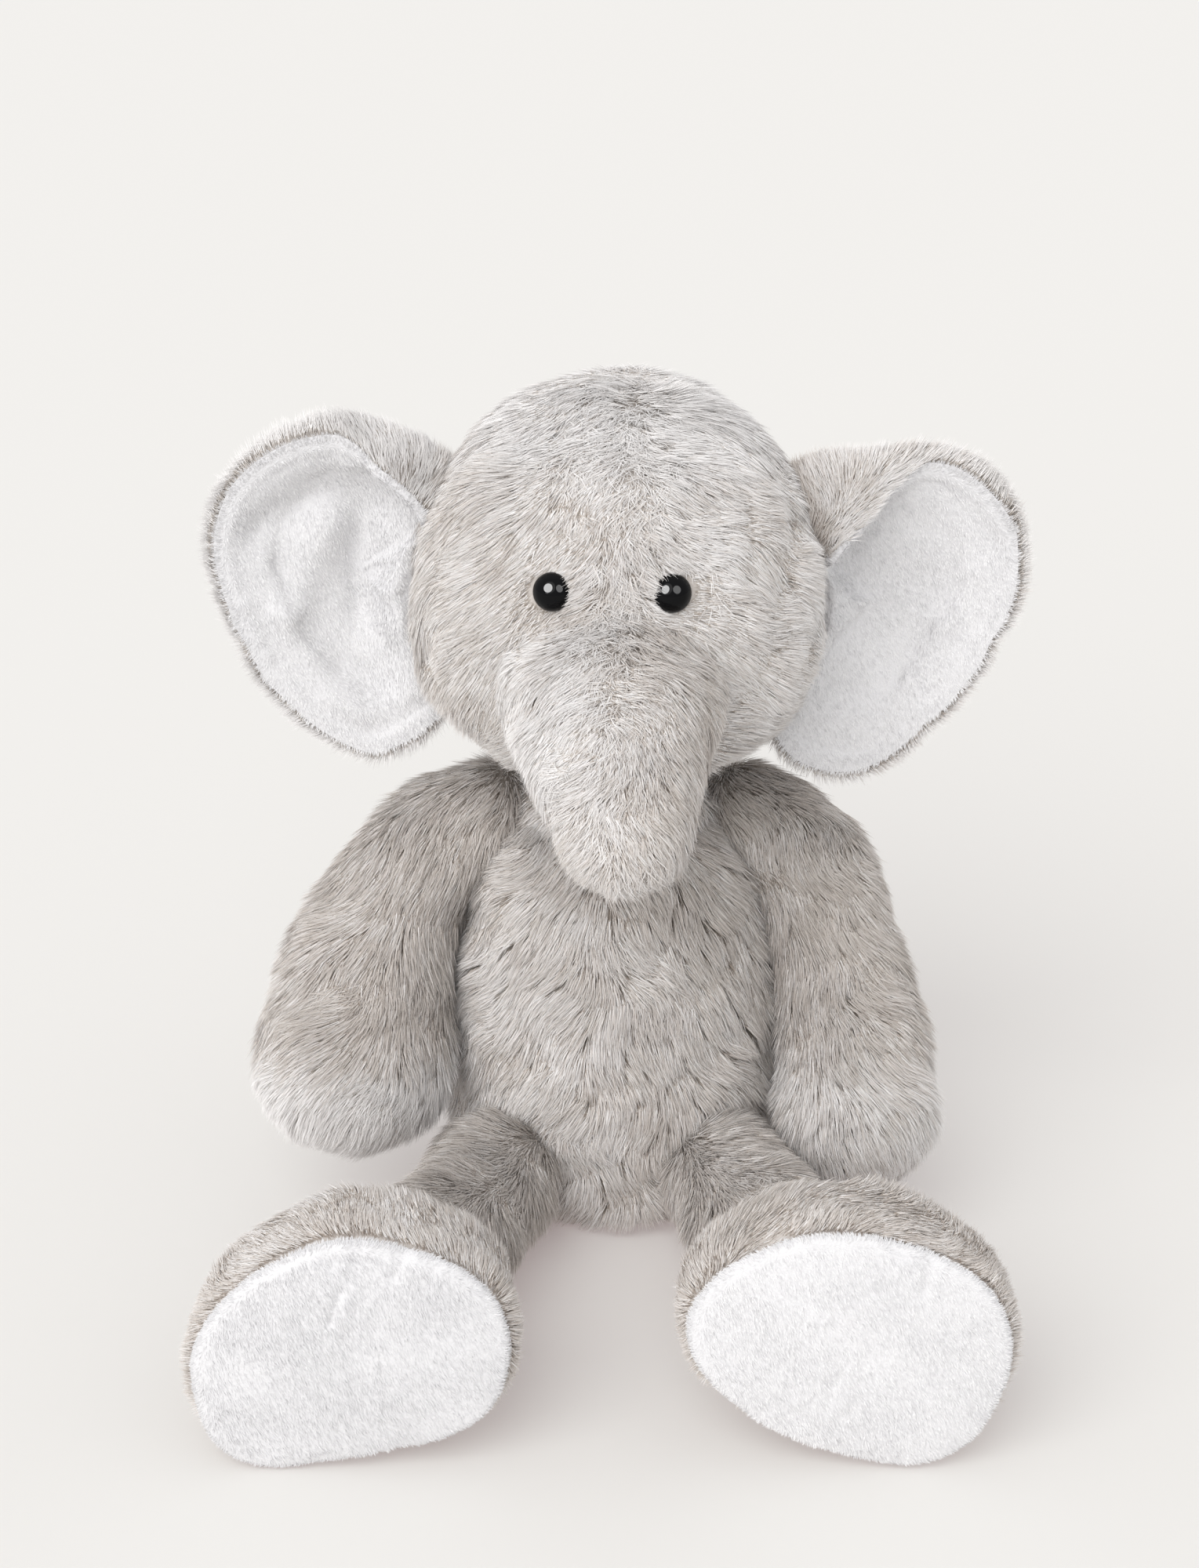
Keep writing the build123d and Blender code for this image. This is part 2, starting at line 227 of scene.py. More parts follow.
def settle(made):
    """Replace an object's mesh by what its modifiers make of it."""
    graph = bpy.context.evaluated_depsgraph_get()
    graph.update()
    mesh = bpy.data.meshes.new_from_object(made.evaluated_get(graph))
    made.modifiers.clear()
    made.data = mesh
    mesh.polygons.foreach_set("use_smooth", [True] * len(mesh.polygons))
    return made


def remeshed(made, voxel, smoothing, material):
    """Merge what an object holds into one soft closed skin."""
    merge = made.modifiers.new("Merge", "REMESH")
    merge.mode = "VOXEL"
    merge.voxel_size = voxel * MM
    soften = made.modifiers.new("Soften", "SMOOTH")
    soften.factor = 0.5
    soften.iterations = smoothing
    settle(made)
    made.data.materials.clear()
    made.data.materials.append(material)
    return made


def between(stations, steps):
    """Beads in a row: the stations, with evenly mixed ones between each pair."""
    row = []
    for start, end in zip(stations[:-1], stations[1:]):
        for i in range(steps):
            share = i / steps
            row.append(tuple(np.array(start) * (1 - share) + np.array(end) * share))
    row.append(stations[-1])
    return row


def stuffed_skin(name, beads, voxel, smoothing, material):
    """One soft closed skin around beads, each an ellipsoid (x, y, z, radius x, y, z)."""
    ball = bmesh.new()
    for x, y, z, rx, ry, rz in beads:
        place = Matrix.LocRotScale(Vector((x, y, z)) * MM, None, (rx * MM, ry * MM, rz * MM))
        bmesh.ops.create_icosphere(ball, subdivisions=3, radius=1, matrix=place)
    mesh = bpy.data.meshes.new(name)
    ball.to_mesh(mesh)
    ball.free()
    return remeshed(new_object(name, mesh), voxel, smoothing, material)


def ring_faces(rings, turns, flip=False):
    """Quads between closed rings of points."""
    faces = []
    for i in range(rings - 1):
        for k in range(turns):
            n = (k + 1) % turns
            face = (i * turns + k, i * turns + n, (i + 1) * turns + n, (i + 1) * turns + k)
            faces.append(face[::-1] if flip else face)
    return faces


def fan_faces(first, turns, tip, flip):
    """Triangles from a ring of points, the first of them given, to a single point."""
    faces = [(first + k, first + (k + 1) % turns, tip) for k in range(turns)]
    return [face[::-1] if flip else face for face in faces]


def read(items, attribute, width, kind=np.float32):
    """One attribute of all vertices, faces or triangles of a mesh, a row for each."""
    values = np.empty(len(items) * width, kind)
    items.foreach_get(attribute, values)
    return values.reshape(-1, width)


def face_along(made, way):
    """Turn an object's faces over if they mostly look against a direction."""
    faces = made.data.polygons
    if (read(faces, "normal", 3) @ np.array(way, np.float32)) @ read(faces, "area", 1) < 0:
        made.data.flip_normals()
    return made


def points_of(made):
    """An object's points, in millimetres."""
    return read(made.data.vertices, "co", 3).astype(float) / MM


def move_points(made, points):
    """Give an object's points new places, in millimetres."""
    made.data.vertices.foreach_set("co", (points * MM).astype(np.float32).ravel())
    made.data.update()


def unit(vectors):
    return vectors / np.maximum(np.linalg.norm(vectors, axis=-1, keepdims=True), 1e-9)


def step(values, low, high):
    """A smooth step from 0 at low to 1 at high."""
    share = np.clip((values - low) / (high - low), 0, 1)
    return share * share * (3 - 2 * share)


class Waves:
    """Smooth seeded noise in space, about -1 to 1, in one or more channels."""

    def __init__(self, seed, size, channels=3, count=16):
        draw = np.random.default_rng(seed)
        ways = unit(draw.normal(size=(count, 3)))
        self.waves = ways * (2 * math.pi / size * draw.uniform(0.6, 1.5, (count, 1)))
        self.starts = draw.uniform(0, 2 * math.pi, count)
        self.mix = draw.normal(size=(count, channels)) / math.sqrt(count / 2)

    def __call__(self, points):
        return np.sin(points @ self.waves.T + self.starts) @ self.mix


# ---- pile


def hashed(cells, salt, channels):
    """Repeatable random numbers for whole-number cells."""
    mixed = (
        cells[:, 0] * 73856093 ^ cells[:, 1] * 19349663 ^ cells[:, 2] * 83492791 ^ (salt * 2654435761)
    ) & 0xFFFFFFFF
    found = []
    for channel in range(channels):
        mixed = (mixed ^ (mixed >> 15)) * 2246822519 & 0xFFFFFFFF
        mixed = (mixed ^ (mixed >> 13)) * 3266489917 & 0xFFFFFFFF
        mixed = mixed ^ (mixed >> 16)
        found.append(mixed / 4294967296.0)
    return np.stack(found, axis=1)


def locks(points, size, salt):
    """For each root, the centre of its lock of pile and that lock's own random numbers."""
    home = np.floor(points / size).astype(np.int64)
    best = np.full(len(points), np.inf)
    centre = np.zeros_like(points)
    cell_of = home.copy()
    for offset in np.ndindex(3, 3, 3):
        cell = home + np.array(offset) - 1
        place = (cell + hashed(cell, salt, 3)) * size
        far = ((place - points) ** 2).sum(axis=1)
        near = far < best
        best[near] = far[near]
        centre[near] = place[near]
        cell_of[near] = cell[near]
    return centre, hashed(cell_of, salt + 7, 4)


def roots_on(made, density, draw):
    """Random roots over an object's faces: points and normals, in millimetres."""
    mesh = made.data
    mesh.calc_loop_triangles()
    corners = read(mesh.loop_triangles, "vertices", 3, np.int32)
    points = points_of(made)
    normals = read(mesh.vertices, "normal", 3).astype(float)
    a, b, c = (points[corners[:, i]] for i in range(3))
    areas = np.linalg.norm(np.cross(b - a, c - a), axis=1) / 2
    total = int(areas.sum() * density)
    chosen = np.searchsorted(np.cumsum(areas), draw.random(total) * areas.sum())
    chosen = np.minimum(chosen, len(corners) - 1)
    u = np.sqrt(draw.random(total))
    v = draw.random(total)
    share = np.stack([1 - u, u * (1 - v), u * v], axis=1)[:, :, None]
    picked = corners[chosen]
    return (points[picked] * share).sum(axis=1), unit((normals[picked] * share).sum(axis=1))


def fibres(name, root, middle, tip, across, width, shade, materials):
    """One mesh of flat fibres, each a long kite: from its root to its widest point to its tip."""
    count = len(root)
    half = across * (width / 2)[:, None]
    kite = np.stack([root, middle + half, middle - half, tip], axis=1)
    mesh = bpy.data.meshes.new(name)
    mesh.vertices.add(count * 4)
    mesh.vertices.foreach_set("co", (kite.reshape(-1) * MM).astype(np.float32))
    mesh.loops.add(count * 6)
    first = np.arange(count)[:, None] * 4
    corners = (first + np.array([0, 1, 2, 2, 1, 3])).astype(np.int32).ravel()
    mesh.loops.foreach_set("vertex_index", corners)
    mesh.polygons.add(count * 2)
    mesh.polygons.foreach_set("loop_start", np.arange(0, count * 6, 3, dtype=np.int32))
    slots = (shade[:, None] * 2 + np.array([0, 1])).astype(np.int32).ravel()
    mesh.polygons.foreach_set("material_index", slots)
    mesh.polygons.foreach_set("use_smooth", np.ones(count * 2, bool))
    for material in materials:
        mesh.materials.append(material)
    mesh.update(calc_edges=True)
    return new_object(name, mesh)


# How a coat of pile grows: fibres per square millimetre, lengths and widths in millimetres,
# how steeply it stands (root, tip), how strongly it gathers in locks, and how it strays.
LONG_PILE = dict(
    density=4.3, length=9.5, width=0.34, lift=(0.68, 0.25), gather=0.4, lock=5.5, stray=0.22, swirl=0.28
)
SHORT_PILE = dict(
    density=5.0, length=2.0, width=0.32, lift=(0.55, 0.22), gather=0.0, lock=2.2, stray=0.3, swirl=0.06,
    ruffle=0.25,
)
# Most fibres lie flat on the coat (how far they roll, in radians), and a share of them on edge
FACING_ROLL, EDGE_ROLL, EDGE_SHARE = 0.3, 1.1, 0.35
# A fibre starts this deep in the skin, bends after the first share of its length and goes on for
# the second, and its end droops a little. Locks lie in bigger locks.
ROOT_DEPTH = 0.4
KNEE, TIP_REACH = 0.45, 0.6
DROOP = 0.06
BIG_LOCKS = 2.3
FLOOR_CLEAR = 0.25
PER_PIECE = 95000


def flattened(vectors, normals):
    """What is left of some vectors when they are laid flat on the surface."""
    return vectors - normals * (vectors * normals).sum(axis=1, keepdims=True)


def grow(
    name, made, comb, materials, style, seed,
    keep=None, lengths=None, order=None, shading=None, upright=None,
):
    """A coat of pile on an object, combed along comb(points, normals), as one or more pieces."""
    draw = np.random.default_rng(seed)
    share = 1
    root, normal = roots_on(made, style["density"] * share, draw)
    if keep is not None:
        held = keep(root, normal)
        root, normal = root[held], normal[held]
    count = len(root)
    width = style["width"] / math.sqrt(share) * draw.uniform(0.7, 1.25, count)
    length = style["length"] * draw.uniform(0.72, 1.12, count)
    if lengths is not None:
        length = length * lengths(root)

    # The way each fibre lies along the surface
    centre, own = locks(root, style["lock"], seed)
    own_big = locks(root, style["lock"] * BIG_LOCKS, seed + 50)[1]
    flow = unit(flattened(comb(root, normal), normal))
    swirl = Waves(seed + 1, 34)(root) * style["swirl"]
    flow = flow + swirl + (own[:, :3] - 0.5) * style["swirl"]
    flow = flow + (own_big[:, :3] - 0.5) * style["swirl"] * 1.2
    flow = flow + draw.normal(size=(count, 3)) * style["stray"] * 0.5
    flow = unit(flattened(flow, normal))

    # How steeply it rises from there
    rise = Waves(seed + 2, 26, 1)(root)[:, 0] * 0.16 + (own[:, 3] - 0.5) * 0.25
    rise = rise * style.get("ruffle", 1) + draw.normal(size=count) * style["stray"] * 0.35
    if upright is not None:
        rise = rise + upright(root)
    low_angle = np.clip(style["lift"][0] + rise, 0.12, 1.45)[:, None]
    high_angle = np.clip(style["lift"][1] + rise * 0.8, -0.05, 1.4)[:, None]
    first = normal * np.sin(low_angle) + flow * np.cos(low_angle)
    second = unit(normal * np.sin(high_angle) + flow * np.cos(high_angle) + [0, 0, -DROOP])
    long_way = length[:, None]
    base = root - normal * ROOT_DEPTH
    middle = base + first * long_way * KNEE
    tip = middle + second * long_way * TIP_REACH

    # Drawn towards the middle of its lock, and kept above the floor
    pull = flattened(centre - root, normal)
    reach = style["gather"] * draw.uniform(0.5, 1.0, count)[:, None]
    middle = middle + pull * reach * 0.35
    tip = tip + pull * reach
    for ends in (base, middle, tip):
        ends[:, 2] = np.maximum(ends[:, 2], FLOOR_CLEAR)

    # A flat kite turned about its length, in one of the coat's shades
    along = unit(tip - base)
    beside = unit(np.cross(along, normal))
    above = np.cross(beside, along)
    loose = np.where(draw.random(count) < EDGE_SHARE, EDGE_ROLL, FACING_ROLL)
    roll = (draw.normal(size=count) * loose)[:, None]
    across = beside * np.cos(roll) + above * np.sin(roll)
    shades = len(materials) // 2
    tone = Waves(seed + 3, 30, 1)(root)[:, 0] * 0.08 + own[:, 0] * 0.35 + draw.random(count) * 1.2 + 0.17
    # A coat's tone, and the painted light and shade of some coats, move its fibres to lighter or darker
    # shades.
    tone = tone / 1.9 + style.get("tone", 0)
    if shading is not None:
        tone = tone + shading(root)
    shade = np.clip((tone * shades).astype(int), 0, shades - 1)

    pieces = []
    parts = max(1, math.ceil(count / PER_PIECE))
    rank = np.argsort(order(root), kind="stable") if order is not None else np.arange(count)
    for i, chosen in enumerate(np.array_split(rank, parts)):
        label = name if parts == 1 else f"{name}_{i + 1}"
        pieces.append(
            fibres(
                label, base[chosen], middle[chosen], tip[chosen], across[chosen],
                width[chosen], shade[chosen], materials,
            )
        )
    return pieces


def around(centre):
    """Sorts roots by their bearing about an upright line, so that each piece is one sector."""
    return lambda points: np.arctan2(points[:, 0] - centre[0], -(points[:, 1] - centre[1]))


def outside(beads, depth):
    """Keeps the roots that are not deeper than this inside any of some beads."""
    rows = np.array(beads, float)

    def keep(points, normals):
        held = np.ones(len(points), bool)
        for x, y, z, rx, ry, rz in rows:
            share = ((points - [x, y, z]) / [rx - depth, ry - depth, rz - depth]) ** 2
            held &= share.sum(axis=1) > 1
        return held

    return keep


# ---- what rides on what


def claim(pieces, body, slot, *nodes):
    """Pieces ride on a body, and some CAD nodes are hidden. The slot is not used."""
    for piece in pieces:
        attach(piece, body)
    if nodes:
        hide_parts(*nodes)


# ---- head

CHEEK_X, CHEEK_DROP = 6, 12
HEAD_BEADS = [(*HEAD, HEAD_R + 0.8, HEAD_R + 0.3, HEAD_R + 1.2)]
for side, sign in SIDES:
    cheek = (sign * CHEEK_X, HEAD[1] - 1, HEAD[2] - CHEEK_DROP, HEAD_R - 4, HEAD_R - 6, HEAD_R - 12)
    HEAD_BEADS.append(cheek)
TRUNK_STATIONS = [
    (-2, -46, 204, 36.5, 34, 30),
    (-2, -66, 199, 32.5, 29, 27),
    (-1, -83, 193, 27, 24, 23),
    (0, -95, 187.5, 23.5, 20.5, 19),
    (1, -102.5, 181, 20, 17.5, 16.5),
    (2, -106.5, 174.5, 17, 15.5, 15),
]
TRUNK_BEADS = [*between(TRUNK_STATIONS, 5), (-2, -57, 217, 24, 18, 14)]
NECK_BEADS = [(*NECK, 27, 27, 15), (NECK[0], NECK[1], NECK[2] - 9, 33, 33, 11)]

head_skin = stuffed_skin("head_skin", HEAD_BEADS, 3, 8, PAINTED_LIGHT_BACKING)
trunk_skin = stuffed_skin("trunk_skin", TRUNK_BEADS, 2, 6, PAINTED_LIGHT_BACKING)
neck_skin = stuffed_skin("neck_skin", NECK_BEADS, 2.5, 5, BACKING)
EYES = [sum(box_mm(f"eye_{side}")) / 2 for side, sign in SIDES]


def parting(points, width):
    """-1 left and 1 right of the centre seam, with the pile of both sides mixed near it."""
    ragged = Waves(71, 7, 1)(points)[:, 0] * 5 + Waves(72, 28, 1)(points)[:, 0] * 2
    ragged = ragged + Waves(73, 1.6, 1)(points)[:, 0] * 7
    return np.tanh((points[:, 0] + ragged) / width)


def comb_head(points, normals):
    """From the centre seam outwards and down, forwards on the seam, backwards behind the crown."""
    from_middle = points - HEAD
    side = parting(points, 13)
    front = step(-from_middle[:, 1], -58, -22)
    cheek = step(-from_middle[:, 2], -24, 22)
    behind = step(from_middle[:, 1], -4, 24)
    seam = np.exp(-((points[:, 0] / 14) ** 2)) * (1 - behind)
    down = 0.45 - 0.17 * side + cheek * (0.45 - 0.3 * side)
    return np.stack([side * (0.9 * front + 0.1), 0.5 * behind + 0.06 - 0.4 * seam, -down], axis=1)


TUFT = np.array([14, -20, HEAD[2] + HEAD_R - 2])


def tuft(points):
    """The little tuft that stands on the crown."""
    return np.exp(-((np.linalg.norm(points - TUFT, axis=1) / 9) ** 2))


def head_upright(points):
    """Pile stands a little higher in the tuft on the crown and along the top of the seam."""
    seam = np.exp(-((points[:, 0] / 7) ** 2)) * step(points[:, 2], HEAD[2] + 28, HEAD[2] + 50)
    return 0.35 * tuft(points) + 0.04 * seam


def head_lengths(points):
    """Shorter pile on the face and round the eyes, longer on the cheeks and the back."""
    size = 0.92 + 0.08 * step(-(points[:, 2] - HEAD[2]), -30, 30)
    for eye in EYES:
        far = np.linalg.norm(points - eye, axis=1)
        size = size * (0.5 + 0.5 * step(far, 6, 12))
    return size * (1 + 0.3 * tuft(points))


def keep_head(points, normals):
    held = outside([TRUNK_BEADS[0], TRUNK_BEADS[5]], 5)(points, normals)
    held &= outside(NECK_BEADS[:1], 6)(points, normals)
    for eye in EYES:
        held &= np.linalg.norm(points - eye, axis=1) > 6.1
    return held


def comb_trunk(points, normals):
    """Down the trunk, swept from its centre seam to both sides."""
    side = parting(points, 10)
    down = step(-points[:, 1], 60, 100)
    return np.stack([side * 0.9, -0.15 - 0.25 * down, -0.6 - 0.4 * down], axis=1)


def comb_one_way(*way):
    """Pile that lies the same way all over."""
    return lambda points, normals: np.tile(way, (len(points), 1))


def head_painted_light(points):
    """Painted light and shade: the left side lies a little darker than the right, and the crown lighter.
    """
    crown = step(points[:, 2], HEAD[2] + 40, HEAD[2] + 54)
    return 0.1 - 0.06 * np.tanh(points[:, 0] / 20) - 0.34 * crown


# The head's coat is set lighter than the body's, partly painted light for the light that falls on it from
# above.
head_style = dict(
    LONG_PILE, density=4.9, width=0.31, gather=0.16, stray=0.2, swirl=0.22, lift=(0.52, 0.14), tone=-0.17
)
head_fur = grow(
    "head_fur", head_skin, comb_head, FUR, head_style, 11, keep_head, head_lengths, around(HEAD),
    head_painted_light, head_upright,
)
claim([head_skin, *head_fur], "head", "fur", "head_panel_left", "head_panel_right")


def trunk_painted_light(points):
    """Painted light and shade: the left half lies lighter, and the right half, where it parts, darker.

    The tip is a little darker on both sides, painted shade as well.
    """
    tip = 1 - step(points[:, 2], 178, 194)
    return 0.09 + 0.06 * tip + np.tanh((points[:, 0] - 1) / 5) * 0.22 * step(points[:, 2], 172, 188)


# The trunk's coat is set lighter than the body's, partly painted light, like the head's.
trunk_style = dict(
    LONG_PILE, length=7.8, density=5.2, width=0.31, lock=4.5, gather=0.2, lift=(0.52, 0.14), tone=-0.14
)
trunk_fur = grow(
    "trunk_fur", trunk_skin, comb_trunk, FUR, trunk_style, 12,
    outside([(*HEAD, HEAD_R, HEAD_R, HEAD_R)], 6), None, around(ELBOW), trunk_painted_light,
    lambda points: -0.15 * (1 - step(-points[:, 1], 66, 80)),
)
neck_fur = grow(
    "neck_fur", neck_skin, comb_one_way(0.0, 0.0, -1.0), FUR,
    dict(LONG_PILE, length=8, lift=(0.5, 0.12)), 13,
)
claim([neck_skin, *neck_fur], "neck", "fur")

# ---- torso

TORSO_PROFILE = (
    (0, 0.6), (30, 0.6), (42, 2), (49, 8), (52.5, 21), (54, 38), (54.5, 54),
    (54, 72), (51.5, 90), (47.5, 107), (42.5, 123), (36, 134), (26, 141), (12, 144.5), (0, 145),
)
RING = 96


def torso_shape():
    """The torso: points in rings round the Z axis, and its faces."""
    profile = np.array(TORSO_PROFILE, float)
    far = np.concatenate([[0], np.cumsum(np.linalg.norm(np.diff(profile, axis=0), axis=1))])
    steps = np.linspace(0, far[-1], 60)
    r = np.interp(steps, far, profile[:, 0])
    z = np.interp(steps, far, profile[:, 1])
    for _ in range(3):
        r[1:-1] = (r[:-2] + 2 * r[1:-1] + r[2:]) / 4
        z[1:-1] = (z[:-2] + 2 * z[1:-1] + z[2:]) / 4
    points = [(0, 0, z[0])]
    for radius, height in zip(r[1:-1], z[1:-1]):
        for k in range(RING):
            turn = 2 * math.pi * k / RING
            points.append((radius * math.sin(turn), -radius * math.cos(turn) * 0.98, height))
    points.append((0, 0, z[-1]))
    faces = []
    last = len(points) - 1
    top = last - RING
    for k in range(RING):
        n = (k + 1) % RING
        faces += [(0, 1 + n, 1 + k), (last, top + k, top + n)]
    for face in ring_faces(len(r) - 2, RING):
        faces.append(tuple(corner + 1 for corner in face))
    return points, faces


torso_points, torso_faces = torso_shape()
torso_skin = object_from("torso_skin", torso_points, torso_faces, BACKING)


def comb_torso(points, normals):
    """Down the belly, swept from its centre seam to both sides."""
    side = np.tanh(points[:, 0] / 20)
    front = step(-points[:, 1], -10, 20)
    return np.stack([side * 0.55 * front, np.zeros(len(points)), np.full(len(points), -1.0)], axis=1)


def keep_torso(points, normals):
    return (points[:, 2] > 1.5) & outside(NECK_BEADS, 6)(points, normals)


# Painted shade: the torso's coat is set darker than the head's (partly its own browner colour), and darker
# again on the right side and at its top, under the head.
torso_style = dict(LONG_PILE, length=10.5, lock=8, gather=0.48, lift=(0.8, 0.3), tone=0.06)
torso_fur = grow(
    "torso_fur", torso_skin, comb_torso, FUR, torso_style, 21, keep_torso, None, around((0, 0, 0)),
    lambda points: 0.09 * np.tanh(points[:, 0] / 15) + 0.06 * step(points[:, 2], 90, 125),
)
claim([torso_skin, *torso_fur], "torso", "fur", "body_panel_left", "body_panel_right", "seat_panel")

# ---- arms

ARM_STATIONS = {
    "left": (
        (-42, 1, 134, 16, 17, 16), (-54, 0, 129, 18, 19, 18), (-65, -3, 120, 19.5, 20, 19),
        (-74, -8, 108, 21, 21, 20), (-80, -14, 94, 24.5, 22, 22), (-84.5, -21, 80, 27.5, 24, 24),
        (-87, -28, 68, 30, 25.5, 25.5), (-88, -34, 58, 30.5, 26, 26.5),
    ),
    "right": (
        (42, 1, 134, 16, 17, 16), (52, 0, 129, 18, 19, 18), (62, -3, 120, 19, 20, 18),
        (69, -8, 105, 19.5, 20, 18), (73, -14, 90, 20, 20, 19), (77, -22, 75, 21, 20.5, 20),
        (80, -31, 58.5, 23, 23.5, 23), (80.5, -38, 44, 24.5, 25, 25),
    ),
}


def arm_painted_light(points, sign):
    """Painted light: both hands lie lighter than the arms, and the left one most."""
    hand = step(-points[:, 2], -80, -55)
    return 0.07 + 0.03 * sign + (0.09 * sign - 0.5) * hand


def comb_arm(sign):
    """Out and down the arm."""

    def comb(points, normals):
        low = step(-points[:, 2], -70, -45)
        outer = step(sign * points[:, 0], 70, 100)
        out = sign * (0.25 + 0.7 * outer * (1 - low) + 0.15 * low)
        return np.stack([out, np.full(len(points), -0.25), -0.55 - 0.4 * low], axis=1)

    return comb


arm_skins = {}
# The arms' coat is set darker than the head's: partly its own browner colour, partly painted shade.
arm_style = dict(LONG_PILE, length=10, lock=6, gather=0.26, tone=0.16)
for side, sign in SIDES:
    beads = between(ARM_STATIONS[side], 4)
    arm_skins[side] = stuffed_skin(f"arm_skin_{side}", beads, 2.5, 8, BACKING)
    arm_fur = grow(
        f"arm_fur_{side}", arm_skins[side], comb_arm(sign), FUR, arm_style, 31 + sign,
        outside([(0, 0, 70, 54, 54, 75)], 6), None, around(joint_mm(f"arm_{side}_swing")),
        lambda points: arm_painted_light(points, sign),
    )
    panels = [f"arm_front_panel_{side}", f"arm_back_panel_{side}"]
    claim([arm_skins[side], *arm_fur], f"arm_{side}", "fur", *panels)

# ---- legs and feet

# Beads along a leg: x for each leg, and (y, z, radius x, y, z) for both
LEG_PLACES = {"left": (-41, -49, -57, -66, -74), "right": (38, 44, 52, 59, 66)}
LEG_SIZES = (
    (-52, 24, 20.5, 20.5, 20.5), (-76, 24.5, 19.5, 19.5, 20), (-98, 28, 20.5, 20.5, 20.5),
    (-120, 31, 22, 22, 23), (-140, 34, 26, 10, 27),
)
# The outline of each sole, (x, z), and where its middle is
SOLE_OUTLINE = {
    "left": (
        (-74, 74.5), (-99, 67.5), (-112, 58.5), (-121, 48), (-126, 36), (-125, 24.5), (-121, 10),
        (-114, 3.5), (-103, 1), (-90, 3), (-79, 4.5), (-65, 8), (-48, 12.5), (-39, 18.5),
        (-34.5, 26.5), (-32, 41.5), (-35, 54), (-42, 62.5), (-52, 68.5), (-63, 72),
    ),
    "right": (
        (65, 76), (51, 75), (41, 71), (31, 65.5), (24, 58), (19.5, 50), (21, 38.5), (26, 30),
        (35, 21.5), (49, 12), (63, 6.5), (75, 3.5), (85, 1.5), (96, 4), (105, 10), (111, 21.5),
        (115, 35), (115, 42.5), (110, 56), (104, 62.5), (92, 69.5), (79, 74),
    ),
}
SOLE_MIDDLE = {"left": (-79, 38), "right": (68, 38.5)}
SOLE_FRONT = -177.5
SOLE_LEAN = 0.11
FOOT_RINGS = (
    (3, 0.94), (4, 0.995), (7, 1.02), (14, 1.03), (22, 1.01), (29, 0.95), (34, 0.82), (37, 0.6), (38, 0.3)
)
SOLE_RING = 120
# The filling of a foot is the pad scaled about the middle of its depth, and that of a leg lies
# this far inside its skin.
FOOT_HEART = 20
FILLING_SIZE = 0.91
FILLING_INSET = 3.2


def bearing_curve(points, centre, sign, smoothing):
    """Distance to a closed outline from its centre, as a function of bearing."""
    rim = np.array(points, float) - centre
    turns = np.arctan2(rim[:, 1], rim[:, 0] * sign)
    order = np.argsort(turns)
    fine = np.linspace(-math.pi, math.pi, 181)
    size = np.interp(fine, turns[order], np.linalg.norm(rim, axis=1)[order], period=2 * math.pi)
    for _ in range(smoothing):
        size[:-1] = (np.roll(size[:-1], 1) + 2 * size[:-1] + np.roll(size[:-1], -1)) / 4
        size[-1] = size[0]
    return lambda turn: np.interp(turn, fine, size, period=2 * math.pi)


class Outlined:
    """Something flat and round that faces along Y, with a centre and a rim."""

    def bearing(self, points):
        """The bearing of points about the centre, and how far out they are."""
        away = points - self.centre
        turns = np.arctan2(away[:, 2], away[:, 0] * self.sign)
        return turns, np.linalg.norm(away[:, [0, 2]], axis=1)

    def outwards(self, points):
        return unit((points - self.centre) * [1, 0, 1])

    def comb_plush(self, points, normals):
        """Short plush lies down and aside, and outwards over the rim."""
        rim = self.near_rim(points)[:, None]
        return np.array([0.35, 0.0, -0.6]) * (1 - rim) + self.outwards(points) * rim


class Foot(Outlined):
    """One foot: an egg-shaped pad standing on its edge, broad on its outer side."""

    def __init__(self, side, sign):
        self.centre = np.array([SOLE_MIDDLE[side][0], SOLE_FRONT, SOLE_MIDDLE[side][1]])
        self.sign = sign
        self.reach = bearing_curve(SOLE_OUTLINE[side], SOLE_MIDDLE[side], sign, 6)

    def rim(self, share, depth):
        """The outline scaled by share, at a depth behind the sole's front."""
        turns = np.linspace(-math.pi, math.pi, SOLE_RING, endpoint=False)
        size = self.reach(turns) * share
        x = self.centre[0] + self.sign * size * np.cos(turns)
        z = self.centre[2] + size * np.sin(turns)
        y = self.centre[1] + depth + SOLE_LEAN * z
        return np.stack([x, y, np.maximum(z, 0.6)], axis=1)

    def share(self, points):
        """How far out points are, as a share of the outline's distance at their bearing."""
        turns, far = self.bearing(points)
        return far / self.reach(turns)

    def near_rim(self, points):
        return step(self.share(points), 0.9, 0.98)

    def depth(self, points):
        """How far behind the front of the sole points are."""
        return points[:, 1] - self.centre[1] - SOLE_LEAN * points[:, 2]

    def comb(self, points, normals):
        """Along the leg to the foot, then away from the sole's rim and back."""
        near = 1 - step(self.depth(points), 30, 60)[:, None]
        along = np.tile([0.75 * self.sign, -0.25, -0.5], (len(points), 1))
        ring = self.outwards(points) * 0.25 + [0.5 * self.sign, 0.8, -0.25]
        return along * (1 - near) + ring * near

    def keep(self, points, normals):
        """Not inside the torso, under the sole or below the floor."""
        held = outside([(0, 0, 60, 54, 54, 70)], 7)(points, normals)
        under_sole = (self.share(points) < 0.95) & (self.depth(points) < 8)
        return held & ~under_sole & (points[:, 2] > 0.2)

    def lengths(self, points):
        """Short pile beside the sole and where the foot meets the floor."""
        by_floor = 0.45 + 0.55 * step(points[:, 2], 4, 22)
        return by_floor * (0.6 + 0.4 * step(self.depth(points), 8, 34))

    def shading(self, points):
        """Painted light and shade: the left leg lies darker than its foot, and the right foot darker than
        the left.
        """
        leg = step(self.depth(points), 30, 60)
        return 0.24 + 0.04 * self.sign + (0.05 - 0.08 * self.sign) * leg


